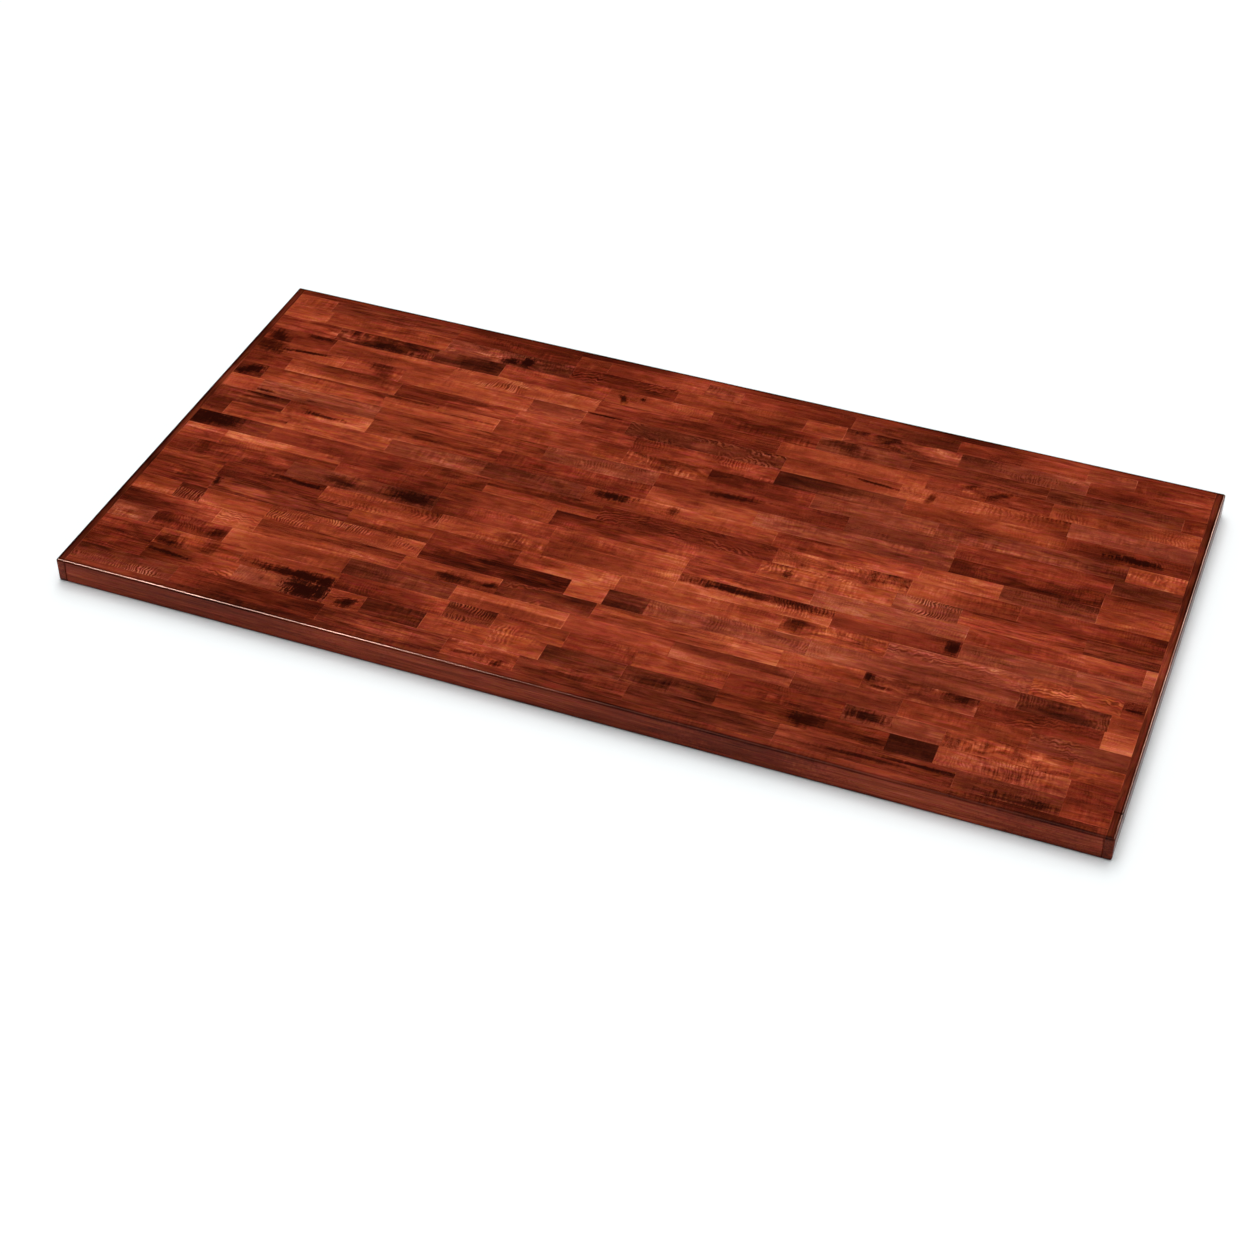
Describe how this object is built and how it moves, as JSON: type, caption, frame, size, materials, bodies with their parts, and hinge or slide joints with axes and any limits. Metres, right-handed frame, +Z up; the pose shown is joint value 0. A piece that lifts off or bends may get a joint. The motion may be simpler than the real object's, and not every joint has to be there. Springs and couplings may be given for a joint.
{
  "type": "butcher block table top",
  "caption": "Rectangular slab of short hardwood staves glued in staggered rows, framed by solid edge strips; lies flat as a table or counter top.",
  "frame": {"origin": "under the middle of the underside", "axes": "+X along the length, +Y to the back, +Z up through the thickness"},
  "size_m": [1.524, 0.762, 0.0381],
  "materials": {
    "stave_wood": "gloss",
    "strip_wood": "gloss"
  },
  "bodies": {
    "root": {"stave_row_01": "stave_wood", "stave_row_02": "stave_wood", "stave_row_03": "stave_wood", "stave_row_04": "stave_wood", "stave_row_05": "stave_wood", "stave_row_06": "stave_wood", "stave_row_07": "stave_wood", "stave_row_08": "stave_wood", "stave_row_09": "stave_wood", "stave_row_10": "stave_wood", "stave_row_11": "stave_wood", "stave_row_12": "stave_wood", "stave_row_13": "stave_wood", "stave_row_14": "stave_wood", "stave_row_15": "stave_wood", "stave_row_16": "stave_wood", "stave_row_17": "stave_wood", "stave_row_18": "stave_wood", "stave_row_19": "stave_wood", "stave_row_20": "stave_wood", "stave_row_21": "stave_wood", "edge_strip_front": "strip_wood", "edge_strip_back": "strip_wood", "end_strip_left": "strip_wood", "end_strip_right_front": "strip_wood", "end_strip_right_back": "strip_wood"}
  },
  "joints": []
}
